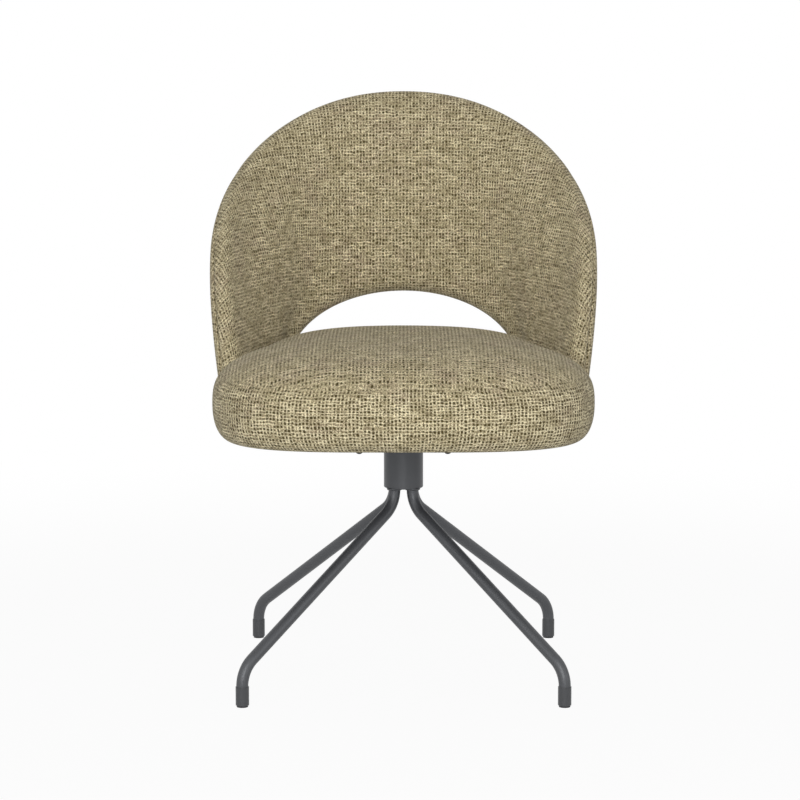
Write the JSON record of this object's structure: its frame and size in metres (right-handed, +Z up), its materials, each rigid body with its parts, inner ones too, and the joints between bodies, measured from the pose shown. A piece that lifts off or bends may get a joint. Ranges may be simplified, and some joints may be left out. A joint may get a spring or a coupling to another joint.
{
  "type": "swivel dining chair",
  "caption": "Dining chair with a padded seat and an arched, wrap-round padded back in woven fabric, turning on a hub with slender splayed tube legs.",
  "frame": {"origin": "the floor, straight below the swivel's axis", "axes": "+Z up along the swivel's axis, -Y the way the sitter faces, +X to the right of someone who looks at the chair's front"},
  "size_m": [0.5346, 0.5618, 0.795],
  "materials": {
    "frame_paint": "dark grey satin powder coat",
    "carrier_paint": "near-black satin powder coat",
    "sleeve_plastic": "dark grey moulded plastic",
    "pad_felt": "pressed dark felt",
    "bush_plastic": "natural white acetal",
    "zinc_steel": "bright zinc plating",
    "black_steel": "blackened steel",
    "plywood": "bare birch plywood",
    "foam": "soft open-cell foam",
    "woven_fabric": "chunky plain weave in beige and olive",
    "dust_cloth": "thin black non-woven cloth"
  },
  "bodies": {
    "base": {"leg_front_left": "frame_paint", "leg_front_right": "frame_paint", "leg_rear_left": "frame_paint", "leg_rear_right": "frame_paint", "foot_sleeve_front_left": "sleeve_plastic", "foot_sleeve_front_right": "sleeve_plastic", "foot_sleeve_rear_left": "sleeve_plastic", "foot_sleeve_rear_right": "sleeve_plastic", "foot_pad_front_left": "pad_felt", "foot_pad_front_right": "pad_felt", "foot_pad_rear_left": "pad_felt", "foot_pad_rear_right": "pad_felt", "hub_tube": "frame_paint", "hub_floor": "frame_paint", "lower_bush": "bush_plastic", "upper_bush": "bush_plastic", "thrust_washer": "zinc_steel"},
    "seat": {"spindle": "zinc_steel", "retaining_washer": "zinc_steel", "retaining_screw": "black_steel", "seat_plate": "carrier_paint", "seat_bolts": "black_steel", "seat_washers": "zinc_steel", "seat_nuts": "zinc_steel", "cross_rail_front": "carrier_paint", "cross_rail_rear": "carrier_paint", "wing_bracket_left": "carrier_paint", "wing_bracket_right": "carrier_paint", "wing_spacers_left": "zinc_steel", "wing_spacers_right": "zinc_steel", "wing_screws_left": "zinc_steel", "wing_screws_right": "zinc_steel", "seat_board": "plywood", "seat_foam": "foam", "seat_cover": "woven_fabric", "dust_cover": "dust_cloth", "back_shell": "plywood", "back_foam_front": "foam", "back_foam_rear": "foam", "back_cover_front": "woven_fabric", "back_cover_rear": "woven_fabric"}
  },
  "joints": [
    {"name": "seat_swivel", "type": "hinge", "parent": "base", "child": "seat", "pos_m": [0, 0, 0.29], "axis": [0, 0, 1], "continuous": true}
  ]
}
